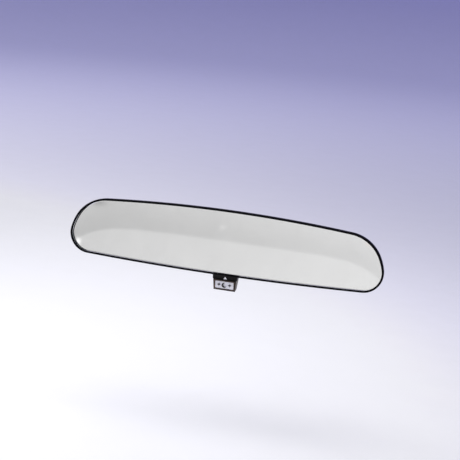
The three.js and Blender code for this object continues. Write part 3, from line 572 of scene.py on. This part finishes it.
def ball_stud():
    """Polished ball with a flat, necked stem, wrench collar and the shank that fits the arm."""
    stem = STEM_RADIUS
    neck = math.degrees(math.asin(stem / BALL_RADIUS))
    back = (STUD_HI.y - BALL.y) / MM
    collar = back - SHANK_LENGTH
    profile = [(0, BALL_RADIUS * math.cos(math.radians(BALL_FLAT_DEG)))]
    profile += arc(BALL_RADIUS, BALL_FLAT_DEG, neck + 5, 30)
    profile += [(stem + 0.12, 6.35), (stem, 6.9), (stem, collar - 3.0), (stem + 0.3, collar - 2.3)]
    profile += [(COLLAR_RADIUS - 0.2, collar - 2.2), (COLLAR_RADIUS, collar - 2.0)]
    profile += [(COLLAR_RADIUS, collar - 0.2), (COLLAR_RADIUS - 0.2, collar)]
    profile += [(SHANK_RADIUS, collar), (SHANK_RADIUS, back - 0.3), (SHANK_RADIUS - 0.3, back), (0, back)]
    return place(turned("ball_stud_fine", profile, BALL, POLISHED, 96, 35), "ball_stud")


def seat_front():
    profile = arc(SEAT_OUTER, 180, SEAT_FRONT_EDGE, 24) + arc(SEAT_INNER, SEAT_FRONT_EDGE, 180, 24)
    return place(turned("seat_front_fine", profile, BALL, NYLON, 72, 35), "seat_front")


def seat_rear():
    """Nylon ring behind the ball's middle, its mouth's edge broken."""
    profile = arc(SEAT_OUTER, SEAT_REAR_EDGE, SEAT_MOUTH, 14) + [(6.35, 4.3)]
    profile += arc(SEAT_INNER, SEAT_MOUTH - 0.2, SEAT_REAR_EDGE, 14)
    return place(turned("seat_rear_fine", profile, BALL, NYLON, 72, 35), "seat_rear")


# ------------------------------------------------------------------ lever details
LEVER_LEAN = math.radians(12)
LEVER_FACE = -3.5
LEVER_SIDE_TOP = LEVER_PIVOT.z - 14.3 * MM
STAR_UP, STAR_RADIUS, STAR_POINTS = -18.3, 1.5, 4


def on_lever(obj):
    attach(obj, "day_night_lever")
    return obj


def lever_point(x, back, up):
    """A point on the lever in mm from its pivot, before it leans back to its rest angle."""
    y = back * math.cos(LEVER_LEAN) - up * math.sin(LEVER_LEAN)
    z = back * math.sin(LEVER_LEAN) + up * math.cos(LEVER_LEAN)
    return LEVER_PIVOT + Vector((x, y, z)) * MM


def lever_prism(name, outlines, front_mm, back_mm, material, round_mm=0.0):
    """A flat shape on the lever's face; the second outline, if any, is a hole."""
    vertices = []
    faces = []
    loops = []
    for depth in (front_mm, back_mm):
        for points in outlines:
            loops.append(list(range(len(vertices), len(vertices) + len(points))))
            vertices += [lever_point(x, depth, up) for x, up in points]
    half = len(outlines)
    for k in range(half):
        front, rear = loops[k], loops[k + half]
        n = len(front)
        faces += [(front[i], front[(i + 1) % n], rear[(i + 1) % n], rear[i]) for i in range(n)]
    if half == 1:
        faces += [tuple(loops[0]), tuple(reversed(loops[1]))]
    else:
        for outer, inner in ((loops[0], loops[1]), (loops[2], loops[3])):
            n = len(outer)
            faces += [(outer[i], outer[(i + 1) % n], inner[(i + 1) % n], inner[i]) for i in range(n)]
    obj = mesh_object(name, vertices, faces, material)
    if round_mm:
        round_edges(obj, round_mm, 2, 40)
        shade(obj, 30)
    return obj


def rounded_rectangle(half_x, low, high, radius, steps=5):
    """A rectangle on the lever's face as (x, up) in mm, its corners rounded."""
    points = []
    for cx, cz, start in ((half_x - radius, low + radius, -90), (half_x - radius, high - radius, 0),
                          (-half_x + radius, high - radius, 90), (-half_x + radius, low + radius, 180)):
        for i in range(steps + 1):
            a = math.radians(start + 90 * i / steps)
            points.append((cx + radius * math.cos(a), cz + radius * math.sin(a)))
    return points


LABEL_FRAME = plastic("label_frame", (0.030, 0.017, 0.013), (0.060, 0.034, 0.024), (0.26, 0.40), 0.5, 0.006,
                      wear=(0.22, 0.12, 0.07))
# Painted sheen: a paler, browner copy of the lever's black plastic, laid on the sides of its lower end.
LEVER_SIDE_SHEEN = plastic("lever_side_painted_sheen", (0.13, 0.105, 0.075), (0.20, 0.165, 0.12), (0.38, 0.55), 0.5, 0.006,
                     wear=(0.05, 0.035, 0.025), specular=0.3)


def label_frame():
    """Raised brown lip round the label."""
    outer = rounded_rectangle(8.35, -22.35, -14.55, 0.5)
    inner = rounded_rectangle(7.55, -21.65, -15.4, 0.3)
    obj = lever_prism("label_frame", [outer, inner], LEVER_FACE - 0.35, LEVER_FACE + 0.02, LABEL_FRAME, 0.1)
    return on_lever(obj)


def star(name, x):
    """Small four-pointed star printed beside the crescent."""
    points = []
    for i in range(2 * STAR_POINTS):
        r = STAR_RADIUS if i % 2 == 0 else STAR_RADIUS * 0.36
        a = math.radians(90 + 180 * i / STAR_POINTS)
        points.append((x + r * math.cos(a), STAR_UP + r * math.sin(a)))
    obj = lever_prism(name, [points[::-1]], LEVER_FACE - 0.62, LEVER_FACE - 0.42, INK)
    return on_lever(obj)


def paint_sheen_on_lever_sides(lever):
    """The sides of the lever's thick lower end carry a paler, browner copy of its plastic: a painted sheen for the
    light that catches them.
    """
    lever.data.materials.append(LEVER_SIDE_SHEEN)
    for face in lever.data.polygons:
        if abs(face.normal.x) > 0.8 and (lever.matrix_world @ face.center).z < LEVER_SIDE_TOP:
            face.material_index = 1


# ------------------------------------------------------------------ build the object
bezel()
glass()
silvering()
shell()
ball_stud()
seat_front()
seat_rear()
label_frame()
star("label_star_left", -4.4)
star("label_star_right", 4.4)

# Radius in mm on the sharp edges of each remaining piece, by the start of its name.
EDGE_ROUNDS = {
    "flip_lever": 0.35, "lever_label": 0.08, "crescent_symbol": 0.05, "pointer": 0.05, "mount_arm": 0.5,
    "windscreen_button": 0.3, "set_screw": 0.2, "lock_nut": 0.25, "clamp_ring": 0.3, "socket_body": 0.25,
    "toggle_plate": 0.2, "inner_frame": 0.15, "tilt_pin": 0.2, "lever_pin": 0.15, "crank_pin": 0.15,
    "frame_screw": 0.18, "clamp_screw": 0.18, "socket_screw": 0.18, "lock_washer": 0.08, "foam_pad": 0.35,
    "tilt_pin_clip": 0.08, "lever_pin_clip": 0.08,
}
for node in NODES:
    starts = [start for start in EDGE_ROUNDS if node.startswith(start)]
    if starts:
        refined(node, EDGE_ROUNDS[max(starts, key=len)])
paint_sheen_on_lever_sides(bpy.data.objects["flip_lever_fine"])


# ------------------------------------------------------------------ floor, backdrop, reflection card
def srgb_to_linear(value):
    """A 0..255 display level as linear light."""
    v = min(255.0, max(0.0, value)) / 255
    return v / 12.92 if v <= 0.04045 else ((v + 0.055) / 1.055) ** 2.4


def attribute_material(name, strength):
    """Glows with the colours stored on the mesh's points."""
    m = bpy.data.materials.new(name)
    m.use_nodes = True
    tree = m.node_tree
    tree.nodes.clear()
    colour = tree.nodes.new("ShaderNodeAttribute")
    colour.attribute_name = "tone"
    glow = tree.nodes.new("ShaderNodeEmission")
    glow.inputs["Strength"].default_value = strength
    output = tree.nodes.new("ShaderNodeOutputMaterial")
    tree.links.new(colour.outputs["Color"], glow.inputs["Color"])
    tree.links.new(glow.outputs["Emission"], output.inputs["Surface"])
    return m


def grid(name, u_range, v_range, u_steps, v_steps, place_point, material, tone):
    """A stage surface laid out by place_point over two ranges, with a colour from tone on every point."""
    vertices = []
    tones = []
    for j in range(v_steps + 1):
        for i in range(u_steps + 1):
            u = u_range[0] + (u_range[1] - u_range[0]) * i / u_steps
            v = v_range[0] + (v_range[1] - v_range[0]) * j / v_steps
            vertices.append(place_point(u, v))
            tones += [*tone(u, v), 1.0]
    row = u_steps + 1
    faces = [(j * row + i, j * row + i + 1, (j + 1) * row + i + 1, (j + 1) * row + i)
             for j in range(v_steps) for i in range(u_steps)]
    mesh = bpy.data.meshes.new(name)
    mesh.from_pydata(vertices, [], faces)
    mesh.polygons.foreach_set("use_smooth", [True] * len(faces))
    layer = mesh.color_attributes.new("tone", "FLOAT_COLOR", "POINT")
    layer.data.foreach_set("color", tones)
    mesh.materials.append(material)
    obj = bpy.data.objects.new(name, mesh)
    bpy.context.collection.objects.link(obj)


FLOOR_Z = HEAD.z - 0.16
ROOM = 3.2
COVE_TURN = 0.6
COVE_FLAT = ROOM - COVE_TURN


def cove(u, v):
    """Round floor that turns up into a wall: v is the way out from the middle, u the way round."""
    a = math.radians(u)
    t = (v - COVE_FLAT) / COVE_TURN
    if t < 0:
        r, z = v, 0.0
    elif t < math.pi / 2:
        r, z = COVE_FLAT + COVE_TURN * math.sin(t), COVE_TURN * (1 - math.cos(t))
    else:
        r, z = ROOM, COVE_TURN * (1 + t - math.pi / 2)
    return (r * math.sin(a), -r * math.cos(a), FLOOR_Z + z)


# The floor and wall are not plain: they carry painted shade, a fade from white below the object to lavender in the
# distance and up the wall. It is laid out from the main camera's own place, STAND_UP above the floor and
# STAND_BACK from the object, so it is right only there.
# drop is the angle, in radians, at which that camera looks down to a point, less the angle to the object.
PAINT_CENTRE = Vector((-0.75, -0.15))
STAND_BACK, STAND_UP = 1.456, 0.467
OBJECT_DROP = math.radians(11.5)
RED_LEVEL, RED_SLOPE, RED_LEAST = 214, 551, 148
BLUE_LEVEL, BLUE_SLOPE, BLUE_LEAST = 234, 360, 194


def cove_tone(u, v):
    """Painted shade: white below the object, falling away to lavender in the distance and up the wall.
    The floor near the middle is painted darker where the lamps light it most, and just below the object it is
    painted lighter to the left and a little darker to the right.
    """
    x, y, z = cove(u, v)
    distance = (Vector((x, y)) - PAINT_CENTRE).length - PAINT_CENTRE.length + STAND_BACK
    drop = math.atan((STAND_UP - (z - FLOOR_Z)) / max(0.6, distance)) - OBJECT_DROP
    red = max(RED_LEAST, RED_LEVEL + RED_SLOPE * drop)
    blue = max(BLUE_LEAST, BLUE_LEVEL + BLUE_SLOPE * drop)
    radius = Vector((x, y)).length
    # Painted shade near the middle, against the lamps' stronger light there; painted light just below the object,
    # lighter to its left and a little darker to its right.
    painted_shade_near = 0.29 * (1 - smoothstep(0.9, 2.3, radius))
    painted_light_and_shade_below = (0.155 - 0.5 * x) * (1 - smoothstep(0.1, 0.9, radius))
    return tuple(srgb_to_linear(c) * (1 - painted_shade_near + painted_light_and_shade_below) for c in (red, red - 1, blue))


def cove_material():
    """Painted studio floor: a matt surface with a soft glow of its own, so its shadows stay faint."""
    m, tree, shader = new_material("pale_floor")
    tone = tree.nodes.new("ShaderNodeAttribute")
    tone.attribute_name = "tone"
    speckle = ramp(tree, noise(tree, object_coordinates(tree), 25, 3), 0.985, 1.0)
    shaded = tree.nodes.new("ShaderNodeMix")
    shaded.data_type = "RGBA"
    shaded.blend_type = "MULTIPLY"
    shaded.inputs["Factor"].default_value = 1
    tree.links.new(tone.outputs["Color"], shaded.inputs["A"])
    tree.links.new(speckle, shaded.inputs["B"])
    tree.links.new(shaded.outputs["Result"], shader.inputs["Base Color"])
    tree.links.new(shaded.outputs["Result"], shader.inputs["Emission Color"])
    shader.inputs["Emission Strength"].default_value = 0.28
    shader.inputs["Roughness"].default_value = 0.95
    shader.inputs["Specular IOR Level"].default_value = 0.1
    return m


grid("studio_cove", (0, 360), (0.0, 5.2), 96, 90, cove, cove_material(), cove_tone)

# The reflection card glows in front of the head, and in the main view it is what the glass shows. Everything on
# it is painted, not lit. Its tones are laid out in mm right and up from the head, about an arch with its
# middle at ARCH_MIDDLE and its feet ARCH_HALF to either side.
CARD_Y = HEAD.y - 1.5
ARCH_MIDDLE, ARCH_HALF, ARCH_UP = -328, 255, -100.8
STRIP_GLOW = 0.30


def card_point(u, v):
    return (u, CARD_Y, v)


def detail_point(u, v):
    return (u, CARD_Y + 0.002, v)


def spot(side, up, centre, size):
    """1 in the middle of an oval and 0 well outside it."""
    return math.exp(-((side - centre[0]) / size[0]) ** 2 - ((up - centre[1]) / size[1]) ** 2)


def card_tone(x, z):
    """Painted reflection: a pale lower part and a slightly darker upper part, parted by a soft arch, both painted
    brighter to the right. A bright upright strip passes each foot of the arch. The spots are a faint painted light
    near the middle, a painted glint at the left foot, a painted dark patch at each end and a warm painted glint at
    the right."""
    side, up = (x - HEAD.x) / MM, (z - HEAD.z) / MM
    t = max(-1.35, min(1.35, (side - ARCH_MIDDLE) / ARCH_HALF))
    arch = ARCH_UP - 2.5 * t - 3.4 * t ** 2 + 3.5 * t ** 3 - 30.7 * abs(t) ** 8
    share = smoothstep(-3, 4, arch - up)
    upper = 0.552 + 0.080 * t + 0.075 * smoothstep(0, 60, up - arch)
    lower = 0.662 + 0.064 * t + 0.012 * smoothstep(0, 60, arch - up)
    value = upper + (lower - upper) * share
    value += STRIP_GLOW * (smoothstep(-72, -40, side) - smoothstep(-10, 60, side))
    value += STRIP_GLOW * (smoothstep(588, 620, -side) - smoothstep(650, 720, -side))
    value += 0.10 * spot(side, up, (-338, -80), (4, 4)) + 0.50 * spot(side, up, (-574, -133), (4.5, 6))
    value *= 1 - 0.30 * spot(side, up, (-546, -66), (13, 6)) - 0.75 * spot(side, up, (-107, -62), (7, 4))
    warm_glint = spot(side, up, (-98, -72), (6, 5))
    return (value * (1 + 0.16 * warm_glint), value * (1 - 0.10 * warm_glint), value * (1 - 0.28 * warm_glint))


CARD_GLOW = attribute_material("card_glow", 1.15)
grid("reflection_card", (-1.3, 0.7), (FLOOR_Z + 0.001, HEAD.z + 0.5), 260, 90,
     card_point, CARD_GLOW, card_tone)
grid("reflection_card_detail", (HEAD.x - 0.62, HEAD.x - 0.04), (HEAD.z - 0.16, HEAD.z - 0.03), 260, 60,
     detail_point, CARD_GLOW, card_tone)


# ------------------------------------------------------------------ light and camera
def area_light(name, position, size, power, colour=(1, 1, 1)):
    """A softbox facing the head."""
    data = bpy.data.lights.new(name, "AREA")
    data.shape = "RECTANGLE"
    data.size, data.size_y = size
    data.energy = power
    data.color = colour
    obj = bpy.data.objects.new(name, data)
    obj.location = position
    obj.rotation_euler = (HEAD - Vector(position)).to_track_quat("-Z", "Y").to_euler()
    bpy.context.collection.objects.link(obj)


area_light("top_softbox", (-0.3, -0.5, 1.7), (1.6, 1.2), 15)
area_light("right_softbox", (1.5, -0.5, 0.5), (0.7, 0.9), 6, (1.0, 0.96, 0.90))
area_light("back_softbox", (-1.0, 1.4, 1.3), (1.0, 1.0), 8)

world = bpy.data.worlds.new("studio")
world.use_nodes = True
background = world.node_tree.nodes["Background"]
background.inputs["Color"].default_value = (0.93, 0.94, 1.0, 1)
background.inputs["Strength"].default_value = 0.42
bpy.context.scene.world = world

# Seen from the right and above, in degrees, and rolled so that the object's right end hangs lower.
VIEW_AZIMUTH, VIEW_ELEVATION, VIEW_ROLL = 12.53, 11.5, 5.47
VIEW_DISTANCE = 1.4861
VIEW_AIM = at(2.98, 0, 11.02)
LENS_MM = 148.696


def camera():
    az, el, roll = (math.radians(a) for a in (VIEW_AZIMUTH, VIEW_ELEVATION, VIEW_ROLL))
    back = Vector((math.sin(az) * math.cos(el), -math.cos(az) * math.cos(el), math.sin(el)))
    right = Vector((math.cos(az), math.sin(az), 0))
    up = back.cross(right)
    turned_right = right * math.cos(roll) + up * math.sin(roll)
    turned_up = up * math.cos(roll) - right * math.sin(roll)
    data = bpy.data.cameras.new("camera")
    data.lens = LENS_MM
    obj = bpy.data.objects.new("camera", data)
    spin = Matrix((turned_right, turned_up, back)).transposed()
    obj.matrix_world = Matrix.Translation(VIEW_AIM + back * VIEW_DISTANCE) @ spin.to_4x4()
    bpy.context.collection.objects.link(obj)
    bpy.context.scene.camera = obj


camera()
bpy.context.scene.view_settings.view_transform = "Standard"
